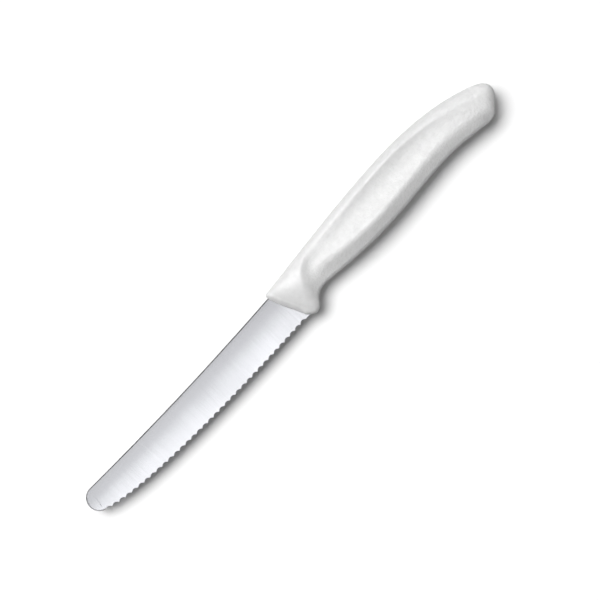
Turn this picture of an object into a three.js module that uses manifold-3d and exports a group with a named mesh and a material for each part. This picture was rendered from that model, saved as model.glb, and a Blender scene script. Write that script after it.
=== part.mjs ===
// Serrated table knife: a round-tipped blade, stamped from stainless sheet, ground to a taper and given
// a scalloped edge, with its tang locked into a one-piece moulded polypropylene handle.
// Millimetres, +Z up. The knife lies on its side, with +X from tip to butt and +Y from edge to spine.
// While it is drawn, x = 0 is the heel, where the cutting edge runs under the handle, y = 0 is the line
// from the end of the tip to the end of the butt, and z = 0 is the middle of the blade's thickness.

import * as THREE from "three";
import { mergeVertices } from "three/addons/utils/BufferGeometryUtils.js";
import Module from "manifold-3d";

const wasm = await Module();
wasm.setup();

// Blade outline
const BLADE_LENGTH = 110; // heel to tip
const BLADE_HEIGHT = 16.05; // spine to edge at the heel
const SPINE_HEIGHT = 6.3; // of the spine above the axis at the heel
const SPINE_FALL = 1.8; // from the heel to the tip
const SPINE_HOLLOW = 1.0; // how far the spine dips below a straight line
const TIP_RADIUS = 5.05;
const TIP_EDGE_ANGLE = 25; // degrees, at which the edge leaves the tip's round
const TIP_EDGE_REACH = 17.2; // how long the edge keeps that direction
const HEEL_EDGE_ANGLE = 2.4; // degrees, at which the edge leaves the heel
const HEEL_EDGE_REACH = 24.7;

// Blade section
const SHEET_THICKNESS = 1.2; // the stamped sheet, left full in the tang
const HEEL_THICKNESS = 1.1; // ground, at the heel end of the spine
const TIP_THICKNESS = 0.8; // ground, at the tip
const FLAT_BAND = 4; // parallel faces under the spine, before the taper bows in
const TIP_GRIND = 0.4; // what the taper takes off each face in the height of the heel, towards the tip
const HEEL_GRIND = 0.24; // and at the heel
const TAPER_STOP = 8; // the thickness stays even this close to the heel
const GRIND_RUN_OUT = 10; // inside the handle, back to the full sheet
const SPINE_CHAMFER = 0.4;

// Teeth
const SCALLOP_PITCH = 3.02; // along the edge
const SCALLOP_DEPTH = 0.62;
const SCALLOP_ANGLE = 20; // degrees between the ground scallop and the blade's face
const PLAIN_HEEL = 1.35; // unground edge in front of the handle

// Tang, hidden in the handle
const HEEL_BURIED = 2.2; // edge that runs on under the handle
const TANG_START = 9; // from the heel to the root of the tang
const TANG_ROOT_HEIGHT = 9;
const TANG_END_HEIGHT = 7.6;
const TANG_RISE = 0.7; // the tang's upper side climbs by this
const TANG_END_COVER = 39; // plastic between the tang's end and the butt
const TANG_HOLE_RADIUS = 2.4;
const TANG_HOLE_INSET = 12; // from the tang's end to the last hole
const TANG_HOLE_SPACING = 34;
const MOULD_GAP = 0.3; // between the tang and the plastic round it

// Handle outline
const HANDLE_LENGTH = 111; // heel to butt
const FRONT_LEAN = 5.95; // the front edge leans this far to the tip at the spine
const FRONT_LIP = 0.3; // plastic over the spine at the front edge
const EDGE_BARE = 0.85; // cutting edge left bare under the front edge
const NECK_COVER = 1.43; // plastic over the spine behind the front edge
const NECK_SETBACK = 1.95; // length of the front edge's upper corner
const CROWN_HEIGHT = 13.1; // highest point of the back
const CROWN_FROM_BUTT = 44.3;
const SHOULDER_HEIGHT = 7.15; // where the back turns down into the butt
const SHOULDER_FROM_BUTT = 7;
const BUTT_HEIGHT = 1.0; // of the butt's furthest point
const GUARD_COVER = 1.4; // the finger guard reaches this far below the edge
const GUARD_STATION = 3.9;
const CHOIL_DROP = 5.73; // hollow behind the guard, for the forefinger
const CHOIL_STATION = 13;
const BELLY_DROP = 7.77;
const BELLY_STATION = 44;
const WAIST_DROP = 5.84; // hollow for the little finger
const WAIST_FROM_BUTT = 29.5;
const HOOK_DROP = 7.92; // lower corner of the butt
const HOOK_FROM_BUTT = 10.2;
const HOOK_LENGTH = 5.3; // length of that corner's round
const HOOK_RISE = 2.02;

// Curves of that outline: where their control points lie, as shares of the curve's run and rise, first
// from the end it leaves and then from the end it reaches
const FRONT_BOW = [0.29, 0.32, 0.16, 0.34];
const NECK_TURN = [0, 0.7, 0.56, 0.09];
const BACK_CLIMB = [0.31, 0.39, 0.31, 0];
const BACK_FALL = [0.41, 0, 0.24, 0.58];
const SHOULDER_TURN = [0.51, 0.22, 0, 0.49];
const GUARD_TURN = [0.2, 0.27, 0.42, 0];
const CHOIL_CLIMB = [0.36, 0, 0.62, 0];
const BELLY_FALL = [0.19, 0, 0.55, 0];
const WAIST_CLIMB = [0.35, 0, 0.31, 0];
const HOOK_FALL = [0.36, 0, 0.3, 0.27];
const HOOK_TURN = [0.49, -0.14, 0.23, 0.64];
const BUTT_TURN = [0.5, 0.4, 0, 0.38];

// Handle section, as half thicknesses
const FRONT_WALL = 0.25; // beside the blade's slot at the front edge
const FRONT_ROUND = 0.5;
const FRONT_SLOPE = 35; // degrees, of the front facet
const FRONT_BLEND = 1.8; // softness between that facet and the cheek
const LEAST_BLEND = 0.1; // share of it that is left at the front edge
const CHEEK_HALF = 4.4; // raised cheek behind the front facet
const CHEEK_SPREAD = 8; // degrees, by which the cheeks widen towards the butt
const CHEEK_AXIS = 2; // height at which a cheek stands furthest out
const CHEEK_RADIUS = 70;
const BACK_ROUND = 2.5; // round along the back
const NECK_SLOPE = 30; // degrees, of the bevel below that round, in front
const BACK_SLOPE = 49; // degrees, of that bevel from the crown on
const SHOULDER_BLEND = 2.2; // softness between bevel and cheek
const BELLY_WALL = 1.6; // upright wall along the finger side
const BELLY_ROUND = 1.3; // round above that wall
const RIDGE_RISE = 5.4; // the widest line runs this far above the finger side
const RIDGE_FRONT_RISE = 1.2; // climbs by this towards the guard
const RIDGE_REAR_FALL = 1.1; // and comes this much closer to it at the butt
const RIDGE_BLEND = 2; // softness of that line
const GUARD_SWELL = 1.5; // what the flank gains at the guard
const BUTT_ROUND = 4;
const SCOOP_HALF = 3.2; // half thickness at the bottom of the scoop, in front
const SCOOP_SPREAD = 1.3; // degrees, by which the scoops part towards the butt
const SCOOP_REAR_HALF = 5.5; // and at the butt, where the scoop has run out
const SCOOP_RADIUS = 13; // across the handle
const SCOOP_LINE = 6; // height of the scoop's deepest line
const SCOOP_FRONT_FALL = 6; // that line drops by this towards the guard
const SCOOP_REAR_FALL = 3; // and by this towards the butt
const SCOOP_RUN_OUT = 35; // length over which the scoop fades, ending at the butt's round
const SCOOP_WALL = 4; // width of the scoop's front wall, below the crease
const SCOOP_WALL_BASE = 9; // and its width down at the guard
const SCOOP_WALL_SLOPE = 28; // degrees, where it meets the crease
const WALL_FADE = 6; // station from which that wall fades
const WALL_END = 18; // and at which it has faded
const CREASE_START = 7.2; // station at which the crease between cheek and scoop leaves the guard
const CREASE_TURN = 6.6; // station and height at which it turns towards the back
const CREASE_HEIGHT = 5.6;
const CREASE_LENGTH = 20; // it ends this far from the heel
const CREASE_COVER = 3; // and this far below the back
const CREASE_BLEND = 1; // softness of the crease

// Facets
const EDGE_STEPS = 24;
const TAPER_STEPS = 6;
const SCALLOP_STEPS = 6;
const HANDLE_STATIONS = 60;
const HANDLE_STRIPS = 22; // from the finger side to the back
const OUTLINE_STEPS = 160;
const END_CROWDING = 0.35; // share by which the handle's stations crowd towards its ends
const STATION_GAP = 1; // least distance between stations of the ground slab

const point = (x, y) => new THREE.Vector2(x, y);
const slope = (degrees) => Math.tan(THREE.MathUtils.degToRad(degrees));
const heading = (degrees) => {
  const angle = THREE.MathUtils.degToRad(degrees);
  return point(Math.cos(angle), Math.sin(angle));
};

// Solids for cutting and joining

function solid(geometry) {
  const bare = geometry.clone();
  bare.deleteAttribute("normal");
  bare.deleteAttribute("uv");
  const merged = mergeVertices(bare, 1e-4);
  return new wasm.Manifold(
    new wasm.Mesh({
      numProp: 3,
      vertProperties: new Float32Array(merged.attributes.position.array),
      triVerts: new Uint32Array(merged.index.array),
    }),
  );
}

function meshOf(name, body, material) {
  const { vertProperties, triVerts } = body.getMesh();
  const geometry = new THREE.BufferGeometry();
  geometry.setAttribute("position", new THREE.BufferAttribute(vertProperties, 3));
  geometry.setIndex(new THREE.BufferAttribute(triVerts, 1));
  geometry.computeVertexNormals();
  const mesh = new THREE.Mesh(geometry, material);
  mesh.name = name;
  return mesh;
}

// Blade: spine and edge lines

const heel = point(0, SPINE_HEIGHT - BLADE_HEIGHT);
const tipCentre = point(TIP_RADIUS - BLADE_LENGTH, SPINE_HEIGHT - SPINE_FALL - TIP_RADIUS);
const spineStart = point(tipCentre.x, tipCentre.y + TIP_RADIUS);
const spineEnd = point(0, SPINE_HEIGHT);
const spineDip = spineStart.clone().lerp(spineEnd, 0.5);
spineDip.y -= 2 * SPINE_HOLLOW;

const edgeStartAngle = (3 * Math.PI) / 2 - THREE.MathUtils.degToRad(TIP_EDGE_ANGLE);
const edgeEnd = tipCentre
  .clone()
  .add(point(Math.cos(edgeStartAngle), Math.sin(edgeStartAngle)).multiplyScalar(TIP_RADIUS));
const edge = new THREE.CubicBezierCurve(
  heel,
  heel.clone().addScaledVector(heading(180 + HEEL_EDGE_ANGLE), HEEL_EDGE_REACH),
  edgeEnd.clone().addScaledVector(heading(-TIP_EDGE_ANGLE), TIP_EDGE_REACH),
  edgeEnd,
);

function spineHeight(x) {
  const t = (x - spineStart.x) / (spineEnd.x - spineStart.x);
  return (1 - t) ** 2 * spineStart.y + 2 * t * (1 - t) * spineDip.y + t ** 2 * spineEnd.y;
}

// The stamped blank: blade and tang in one outline, with the tang's holes.

function blankOutline() {
  const tangEnd = HANDLE_LENGTH - TANG_END_COVER;
  const tangTop = SPINE_HEIGHT + TANG_RISE;
  const tangBase = tangTop - TANG_END_HEIGHT;
  const shape = new THREE.Shape();
  shape.moveTo(HEEL_BURIED, heel.y);
  shape.lineTo(heel.x, heel.y);
  shape.bezierCurveTo(edge.v1.x, edge.v1.y, edge.v2.x, edge.v2.y, edge.v3.x, edge.v3.y);
  shape.absarc(tipCentre.x, tipCentre.y, TIP_RADIUS, edgeStartAngle, Math.PI / 2, true);
  shape.quadraticCurveTo(spineDip.x, spineDip.y, spineEnd.x, spineEnd.y);
  shape.lineTo(tangEnd - TANG_END_HEIGHT / 2, tangTop);
  shape.quadraticCurveTo(tangEnd, tangTop, tangEnd, tangTop - TANG_END_HEIGHT / 2);
  shape.quadraticCurveTo(tangEnd, tangBase, tangEnd - TANG_END_HEIGHT / 2, tangBase);
  shape.lineTo(TANG_START, SPINE_HEIGHT - TANG_ROOT_HEIGHT);
  shape.closePath();
  const lastHole = tangEnd - TANG_HOLE_INSET;
  for (const x of [lastHole - TANG_HOLE_SPACING, lastHole]) {
    const hole = new THREE.Path();
    hole.absarc(x, tangTop - TANG_END_HEIGHT / 2, TANG_HOLE_RADIUS, 0, 2 * Math.PI);
    shape.holes.push(hole);
  }
  return shape;
}

function blank(grow) {
  const geometry = new THREE.ExtrudeGeometry(blankOutline(), {
    depth: SHEET_THICKNESS - 2 * SPINE_CHAMFER + 2 * grow,
    bevelThickness: SPINE_CHAMFER,
    bevelSize: SPINE_CHAMFER,
    bevelOffset: grow - SPINE_CHAMFER,
    bevelSegments: 1,
    curveSegments: EDGE_STEPS,
  });
  geometry.computeBoundingBox();
  geometry.translate(0, 0, -(geometry.boundingBox.min.z + geometry.boundingBox.max.z) / 2);
  return solid(geometry);
}

// What the grinding leaves: a slab that is even under the spine, bows in to the edge, thins a little
// towards the tip and runs out to the full sheet inside the handle.

function groundHalf(x, y) {
  const along = THREE.MathUtils.clamp((x + BLADE_LENGTH) / (BLADE_LENGTH - TAPER_STOP), 0, 1);
  const band = spineHeight(Math.min(x, 0)) - FLAT_BAND;
  const across = Math.max(band - y, 0) / (BLADE_HEIGHT - FLAT_BAND);
  const grind = THREE.MathUtils.lerp(TIP_GRIND, HEEL_GRIND, along);
  return THREE.MathUtils.lerp(TIP_THICKNESS, HEEL_THICKNESS, along) / 2 - grind * across ** 2;
}

function groundSection(x, spineY, edgeY, grow) {
  const runOut = THREE.MathUtils.clamp((x - HEEL_BURIED) / GRIND_RUN_OUT, 0, 1);
  const fullHalf = SHEET_THICKNESS / 2 + SPINE_CHAMFER;
  const levels = [spineY + TIP_RADIUS];
  for (let i = 0; i <= TAPER_STEPS; i += 1) {
    levels.push(THREE.MathUtils.lerp(spineY - FLAT_BAND, edgeY, i / TAPER_STEPS));
  }
  levels.push(edgeY - TIP_RADIUS);
  return levels.map((y) => {
    const ground = groundHalf(x, Math.max(y, edgeY));
    return [y, THREE.MathUtils.lerp(ground, fullHalf, runOut) + grow];
  });
}

function groundSlab(grow) {
  const heelwards = edge.getSpacedPoints(EDGE_STEPS).reverse();
  const beyondTip = edgeEnd.clone().addScaledVector(heading(180 - TIP_EDGE_ANGLE), TIP_RADIUS);
  const runOutEnd = point(HEEL_BURIED + GRIND_RUN_OUT, heel.y);
  const tangEnd = point(HANDLE_LENGTH, heel.y);
  const stop = edge.getPointAt(TAPER_STOP / edge.getLength());
  const ends = [point(HEEL_BURIED, heel.y), runOutEnd, tangEnd];
  const stations = [beyondTip, ...heelwards.filter((p) => p.x < stop.x - STATION_GAP), stop, heel, ...ends];
  const positions = [];
  for (const { x, y } of stations) {
    const section = groundSection(x, spineHeight(x), y, grow);
    const near = section.map(([level, half]) => [x, level, half]);
    const far = section.map(([level, half]) => [x, level, -half]).reverse();
    positions.push(...near, ...far);
  }
  return solid(loft(positions, stations.length));
}

// A closed skin over rings of points, each ring running the same way round, with flat ends.

function loft(positions, rings) {
  const around = positions.length / rings;
  const faces = [];
  const quad = (a, b, c, d) => faces.push(a, b, c, a, c, d);
  for (let i = 0; i < rings - 1; i += 1) {
    for (let j = 0; j < around; j += 1) {
      const next = (j + 1) % around;
      quad(i * around + j, i * around + next, (i + 1) * around + next, (i + 1) * around + j);
    }
  }
  const last = (rings - 1) * around;
  for (let j = 0; j < around / 2 - 1; j += 1) {
    const far = around - 1 - j;
    quad(j, far, far - 1, j + 1);
    quad(last + j, last + j + 1, last + far - 1, last + far);
  }
  const geometry = new THREE.BufferGeometry();
  geometry.setAttribute("position", new THREE.Float32BufferAttribute(positions.flat(), 3));
  geometry.setIndex(faces);
  return geometry;
}

// One scallop: the wheel's round rim, laid at the grinding angle, cuts from the far face out through the
// edge. Its radius is the one that lets neighbouring scallops meet in a point on the edge line.

function scallopCutters() {
  const tilt = THREE.MathUtils.degToRad(SCALLOP_ANGLE);
  const drop = SCALLOP_DEPTH * Math.sin(tilt);
  const rim = ((SCALLOP_PITCH / 2) ** 2 + drop ** 2) / (2 * drop);
  const reach = SCALLOP_PITCH + HEEL_THICKNESS / Math.sin(tilt);
  const sweep = Math.asin(Math.min(1, SCALLOP_PITCH / rim));
  const profile = new THREE.Shape();
  profile.absarc(0, -rim, rim, Math.PI / 2 + sweep, Math.PI / 2 - sweep, true);
  profile.lineTo(rim * Math.sin(sweep), -rim);
  profile.lineTo(-rim * Math.sin(sweep), -rim);
  profile.closePath();
  const wheel = new THREE.ExtrudeGeometry(profile, {
    depth: 2 * reach,
    bevelEnabled: false,
    curveSegments: SCALLOP_STEPS,
  });
  wheel.translate(0, 0, -reach);
  const length = edge.getLength();
  const count = Math.floor((length - PLAIN_HEEL) / SCALLOP_PITCH);
  const cutters = [];
  for (let i = 0; i < count; i += 1) {
    const u = (PLAIN_HEEL + (i + 0.5) * SCALLOP_PITCH) / length;
    const along = edge.getTangentAt(u);
    const inward = new THREE.Vector3(along.y, -along.x, 0);
    const face = new THREE.Vector3(0, 0, 1);
    const axis = inward.clone().multiplyScalar(Math.cos(tilt)).addScaledVector(face, -Math.sin(tilt));
    const into = inward.clone().multiplyScalar(Math.sin(tilt)).addScaledVector(face, Math.cos(tilt));
    const onEdge = edge.getPointAt(u);
    const deepest = new THREE.Vector3(onEdge.x, onEdge.y, groundHalf(onEdge.x, onEdge.y));
    deepest.addScaledVector(inward, SCALLOP_DEPTH);
    const place = new THREE.Matrix4()
      .makeBasis(new THREE.Vector3(along.x, along.y, 0), into, axis)
      .setPosition(deepest);
    cutters.push(solid(wheel.clone().applyMatrix4(place)));
  }
  return cutters;
}

const steel = new THREE.MeshStandardMaterial({ color: "#c9cccf", metalness: 1, roughness: 0.32 });
const groundBlade = blank(0).intersect(groundSlab(0));
const blade = meshOf(
  "blade",
  scallopCutters().reduce((body, cutter) => body.subtract(cutter), groundBlade),
  steel,
);

// Handle outline: the front edge that the blade comes out of, the back and the finger side.

const frontTop = point(-FRONT_LEAN, SPINE_HEIGHT + FRONT_LIP);
const frontBase = point(0, heel.y + EDGE_BARE);
const neck = point(NECK_SETBACK - FRONT_LEAN, SPINE_HEIGHT + NECK_COVER);
const crown = point(HANDLE_LENGTH - CROWN_FROM_BUTT, CROWN_HEIGHT);
const shoulder = point(HANDLE_LENGTH - SHOULDER_FROM_BUTT, SHOULDER_HEIGHT);
const butt = point(HANDLE_LENGTH, BUTT_HEIGHT);
const guard = point(GUARD_STATION, heel.y - GUARD_COVER);
const choil = point(CHOIL_STATION, -CHOIL_DROP);
const belly = point(BELLY_STATION, -BELLY_DROP);
const waist = point(HANDLE_LENGTH - WAIST_FROM_BUTT, -WAIST_DROP);
const hook = point(HANDLE_LENGTH - HOOK_FROM_BUTT, -HOOK_DROP);
const hookEnd = point(hook.x + HOOK_LENGTH, hook.y + HOOK_RISE);

function outline(start, ...curves) {
  const path = new THREE.Path().moveTo(start.x, start.y);
  for (const [end, [leaveRun, leaveRise, reachRun, reachRise]] of curves) {
    const from = path.currentPoint.clone();
    const way = end.clone().sub(from);
    path.bezierCurveTo(
      from.x + leaveRun * way.x, from.y + leaveRise * way.y,
      end.x - reachRun * way.x, end.y - reachRise * way.y,
      end.x, end.y,
    );
  }
  return path;
}

const front = outline(frontBase, [frontTop, FRONT_BOW]);
const backLine = outline(frontTop, [neck, NECK_TURN], [crown, BACK_CLIMB], [shoulder, BACK_FALL]);
const backEnd = outline(shoulder, [butt, SHOULDER_TURN]);
const fingerLine = outline(
  frontBase,
  [guard, GUARD_TURN],
  [choil, CHOIL_CLIMB],
  [belly, BELLY_FALL],
  [waist, WAIST_CLIMB],
  [hook, HOOK_FALL],
);
const fingerEnd = outline(hook, [hookEnd, HOOK_TURN], [butt, BUTT_TURN]);

function joined(...paths) {
  const whole = new THREE.CurvePath();
  for (const path of paths) {
    whole.curves.push(...path.curves);
  }
  return whole;
}

const back = joined(backLine, backEnd);
const fingers = joined(fingerLine, fingerEnd);
const creaseEnd = back.getPointAt((CREASE_LENGTH + FRONT_LEAN) / back.getLength());
const crease = new THREE.QuadraticBezierCurve(
  point(CREASE_START, frontBase.y),
  point(CREASE_TURN, CREASE_HEIGHT),
  point(creaseEnd.x, creaseEnd.y - CREASE_COVER),
);

// Each line as points, to measure distances from.

const frontPoints = front.getSpacedPoints(OUTLINE_STEPS);
const backPoints = backLine.getSpacedPoints(OUTLINE_STEPS);
const fingerPoints = fingerLine.getSpacedPoints(OUTLINE_STEPS);
const creasePoints = crease.getSpacedPoints(OUTLINE_STEPS);
const buttPoints = [
  ...fingerEnd.getSpacedPoints(OUTLINE_STEPS),
  ...backEnd.getSpacedPoints(OUTLINE_STEPS).reverse(),
];

// How far a place lies from a line, negative on the line's left.

function offset(place, line) {
  let least = Infinity;
  let side = 1;
  for (let i = 0; i < line.length - 1; i += 1) {
    const step = line[i + 1].clone().sub(line[i]);
    const from = place.clone().sub(line[i]);
    const turn = from.cross(step);
    const t = THREE.MathUtils.clamp(from.dot(step) / Math.max(step.lengthSq(), Number.EPSILON), 0, 1);
    const away = from.addScaledVector(step, -t).length();
    if (away < least) {
      least = away;
      side = Math.sign(turn);
    }
  }
  return least * side;
}

const distance = (place, line) => Math.abs(offset(place, line));

// Half the handle's thickness at a place in its outline. Each side of the outline rises as a round edge
// and a flank, the cheek and the thumb scoop cap them, and the lowest of these wins, with soft edges.

const roundEdge = (depth, radius) => {
  const short = 1 - Math.min(depth, radius) / radius;
  return radius * Math.sqrt(1 - short ** 2);
};

const soft = (a, b, width) => Math.min(a, b) - Math.max(width - Math.abs(a - b), 0) ** 2 / (4 * width);

const runOut = (x) =>
  THREE.MathUtils.smoothstep(x, butt.x - BUTT_ROUND - SCOOP_RUN_OUT, butt.x - BUTT_ROUND);

function scoopHalf(x, y, frontFall) {
  const fade = runOut(x);
  const dip = 1 - THREE.MathUtils.smoothstep(x, CREASE_LENGTH / 3, CREASE_LENGTH);
  const floor = THREE.MathUtils.lerp(SCOOP_HALF + x * slope(SCOOP_SPREAD), SCOOP_REAR_HALF, fade);
  const line = SCOOP_LINE - frontFall * dip - SCOOP_REAR_FALL * fade;
  return floor + ((1 - fade) * (y - line) ** 2) / (2 * SCOOP_RADIUS);
}

function handleHalf(place, finger) {
  const { x, y } = place;
  const toFront = distance(place, frontPoints);
  const toBack = distance(place, backPoints);
  const toFingers = distance(place, fingerPoints);
  const toButt = distance(place, buttPoints);
  const backShare = THREE.MathUtils.smoothstep(x, CREASE_LENGTH, crown.x);
  const backSlope = slope(THREE.MathUtils.lerp(NECK_SLOPE, BACK_SLOPE, backShare));
  const bevel = roundEdge(toBack, BACK_ROUND) + toBack * backSlope;
  const cheek = CHEEK_HALF + x * slope(CHEEK_SPREAD) - (y - CHEEK_AXIS) ** 2 / (2 * CHEEK_RADIUS);
  const wallShare = THREE.MathUtils.smoothstep(y, choil.y / 2, CREASE_HEIGHT);
  const wallWidth = THREE.MathUtils.lerp(SCOOP_WALL_BASE, SCOOP_WALL, wallShare);
  const wall = Math.max(wallWidth - offset(place, creasePoints), 0);
  const wallRise = (wall ** 2 * slope(SCOOP_WALL_SLOPE)) / (2 * wallWidth);
  const wallLeft = 1 - THREE.MathUtils.smoothstep(x, WALL_FADE, WALL_END);
  const scoop = scoopHalf(x, y, SCOOP_FRONT_FALL) + wallRise * wallLeft;
  const grip = finger.x < choil.x ? choil : finger;
  const lift = RIDGE_FRONT_RISE * (1 - THREE.MathUtils.smoothstep(x, choil.x, belly.x));
  const rise = RIDGE_RISE + lift - RIDGE_REAR_FALL * runOut(x);
  const swell = GUARD_SWELL * (1 - THREE.MathUtils.smoothstep(x, CREASE_START, choil.x));
  const ridge = scoopHalf(grip.x, grip.y + rise, 0) + swell;
  const foot = BELLY_WALL + BELLY_ROUND;
  const flank = BELLY_WALL + roundEdge(toFingers, BELLY_ROUND) + (toFingers * (ridge - foot)) / rise;
  const slotHalf = SHEET_THICKNESS / 2 + MOULD_GAP + FRONT_WALL;
  const nose = slotHalf + roundEdge(toFront, FRONT_ROUND) + toFront * slope(FRONT_SLOPE);
  const raised = soft(bevel, cheek, SHOULDER_BLEND);
  const scooped = soft(raised, scoop, CREASE_BLEND);
  const noseBlend = FRONT_BLEND * THREE.MathUtils.clamp(toFront / FRONT_BLEND, LEAST_BLEND, 1);
  const side = soft(soft(scooped, flank, RIDGE_BLEND), nose, noseBlend);
  return Math.max(side, 0) * (roundEdge(toButt, BUTT_ROUND) / BUTT_ROUND);
}

// The handle's skin: rings from finger side to back and round the far side, from the front edge to a
// point at the butt.

function handleSkin() {
  const positions = [];
  const faces = [];
  const ring = 2 * HANDLE_STRIPS;
  for (let i = 0; i < HANDLE_STATIONS; i += 1) {
    const s = i / HANDLE_STATIONS;
    const u = s - (END_CROWDING * Math.sin(2 * Math.PI * s)) / (2 * Math.PI);
    const low = fingers.getPointAt(u);
    const high = back.getPointAt(u);
    const bow = Math.max(1 - (u * HANDLE_LENGTH) / CREASE_LENGTH, 0);
    const near = [];
    const far = [];
    for (let j = 0; j <= HANDLE_STRIPS; j += 1) {
      const t = (1 - Math.cos((Math.PI * j) / HANDLE_STRIPS)) / 2;
      const place = low.clone().lerp(high, t);
      const bulge = front.curves[0].getPoint(t).sub(frontBase.clone().lerp(frontTop, t));
      place.addScaledVector(bulge, bow);
      const onOutline = j === 0 || j === HANDLE_STRIPS;
      const half = onOutline ? 0 : handleHalf(place, low);
      near.push([place.x, place.y, half]);
      if (!onOutline) {
        far.unshift([place.x, place.y, -half]);
      }
    }
    positions.push(...near, ...far);
  }
  for (let i = 0; i < HANDLE_STATIONS - 1; i += 1) {
    for (let j = 0; j < ring; j += 1) {
      const a = i * ring + j;
      const b = i * ring + ((j + 1) % ring);
      faces.push(a, a + ring, b + ring, a, b + ring, b);
    }
  }
  for (let j = 0; j < HANDLE_STRIPS; j += 1) {
    const far = (ring - j) % ring;
    const nextFar = ring - j - 1;
    if (j > 0) {
      faces.push(j, nextFar, far);
    }
    if (j < HANDLE_STRIPS - 1) {
      faces.push(j, j + 1, nextFar);
    }
  }
  const last = (HANDLE_STATIONS - 1) * ring;
  for (let j = 0; j < ring; j += 1) {
    faces.push(last + j, last + ring, last + ((j + 1) % ring));
  }
  positions.push([butt.x, butt.y, 0]);
  const geometry = new THREE.BufferGeometry();
  geometry.setAttribute("position", new THREE.Float32BufferAttribute(positions.flat(), 3));
  geometry.setIndex(faces);
  return solid(geometry);
}

const cavity = blank(MOULD_GAP).intersect(groundSlab(MOULD_GAP));
const plastic = new THREE.MeshStandardMaterial({ color: "#e9eaec", metalness: 0, roughness: 0.5 });
const handle = meshOf("handle", handleSkin().subtract(cavity), plastic);

// The knife lies with the origin under its middle.

const knife = new THREE.Group();
knife.add(blade, handle);
const extent = new THREE.Box3().setFromObject(knife);
const middle = extent.getCenter(new THREE.Vector3());
knife.position.set(-middle.x, -middle.y, -extent.min.z);

export default knife;
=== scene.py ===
"""Serrated table knife: a ground steel blade with a scalloped edge in a moulded white handle."""

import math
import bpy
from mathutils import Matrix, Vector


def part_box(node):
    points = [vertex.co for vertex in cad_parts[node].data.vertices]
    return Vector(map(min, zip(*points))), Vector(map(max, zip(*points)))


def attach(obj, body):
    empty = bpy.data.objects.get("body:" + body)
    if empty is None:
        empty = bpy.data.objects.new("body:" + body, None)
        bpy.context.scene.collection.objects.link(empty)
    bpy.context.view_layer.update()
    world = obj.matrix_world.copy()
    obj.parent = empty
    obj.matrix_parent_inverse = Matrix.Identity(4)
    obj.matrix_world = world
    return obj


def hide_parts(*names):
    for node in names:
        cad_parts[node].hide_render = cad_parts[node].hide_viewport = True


bl_info = {
    "name": "Serrated Table Knife",
    "version": (1, 0, 0),
    "blender": (4, 5, 0),
    "location": "3D View > Sidebar > Knife",
    "description": "Builds a serrated table knife, its materials and a plain studio round its CAD frame",
    "category": "Add Mesh",
}

import bmesh
import bpy
import numpy as np
from bpy.props import FloatProperty, FloatVectorProperty, PointerProperty

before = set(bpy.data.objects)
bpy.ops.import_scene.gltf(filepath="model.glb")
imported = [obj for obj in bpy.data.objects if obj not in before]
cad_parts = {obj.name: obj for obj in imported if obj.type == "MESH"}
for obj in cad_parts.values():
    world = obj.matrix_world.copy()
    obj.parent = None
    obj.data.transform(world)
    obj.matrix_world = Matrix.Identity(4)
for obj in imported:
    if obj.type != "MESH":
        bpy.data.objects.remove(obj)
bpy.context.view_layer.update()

MM = 0.001

# Curves of the handle's outline: where their control points lie, as shares of the curve's run and rise,
# first from the end it leaves and then from the end it reaches
FRONT_BOW = (0.29, 0.32, 0.16, 0.34)
NECK_TURN = (0, 0.7, 0.56, 0.09)
BACK_CLIMB = (0.31, 0.39, 0.31, 0)
BACK_FALL = (0.41, 0, 0.24, 0.58)
SHOULDER_TURN = (0.51, 0.22, 0, 0.49)
GUARD_TURN = (0.2, 0.27, 0.42, 0)
CHOIL_CLIMB = (0.36, 0, 0.62, 0)
BELLY_FALL = (0.19, 0, 0.55, 0)
WAIST_CLIMB = (0.35, 0, 0.31, 0)
HOOK_FALL = (0.36, 0, 0.3, 0.27)
HOOK_TURN = (0.49, -0.14, 0.23, 0.64)
BUTT_TURN = (0.5, 0.4, 0, 0.38)

# How finely the curves and skins are drawn
CURVE_STEPS = 400
LINE_POINTS = 240
HANDLE_STATIONS = 240
HANDLE_STRIPS = 60
SCALLOP_STEPS = 12
TIP_STEPS = 18
TANG_STEPS = 12
PLAIN_STEPS = 4
FACE_ROWS = 11
EDGE_PASSES = 8  # that find how far each scallop sets the edge back
BLADE_SHARP = math.radians(24)  # corners sharper than this stay sharp
HANDLE_SHARP = math.radians(50)

# Rows of points along the outline of the blade: how far in they lie, from the edge and from the spine
EDGE_ROWS = np.array([0, 0.06, 0.14, 0.24, 0.36, 0.5, 0.66, 0.84, 1.04, 1.26, 1.5, 1.8, 2.2]) * MM
SPINE_ROWS = np.array([0.7, 0.42, 0.28, 0.14, 0]) * MM
SMALLEST_FIT = 0.2  # share of those depths that is left where the blade is narrow

# Limits that keep the skins sound
EDGE_LAND = 0.01 * MM  # steel left at the cutting edge
CHAMFER_FALL = 0.9  # height over width of the broken corners
CHAMFER_SHARE = 0.9  # of half the thickness, which is the most that their width may be
LEAST_BLEND = 0.1  # share of the front facet's softness that is left at its edge
LEAST_STEP = 1e-18  # square of the shortest stretch of a line that is divided by
WELD = 0.0001 * MM  # points closer than this become one

# Where the grain of the grip begins, and where it is full, behind the crease
GRAIN_START = -0.5 * MM
GRAIN_FULL = 2 * MM

# Range in which nearly all of a noise pattern lies
NOISE_LOW = 0.3
NOISE_HIGH = 0.7

# Stage, in metres and radians
FLOOR_REACH = 3.0
STRIP_SIZE = (0.43, 0.19)
STRIP_PLACE = (-0.155, -0.099, 0.8)
FRONT_SIDE = -math.pi / 2  # direction of the knife's finger side
OVERHEAD = math.pi / 2
WALL_FULL = math.pi / 6  # elevation up to which the walls are fully light
NEAREST_SEEN = 0.01
FURTHEST_SEEN = 20


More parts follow.
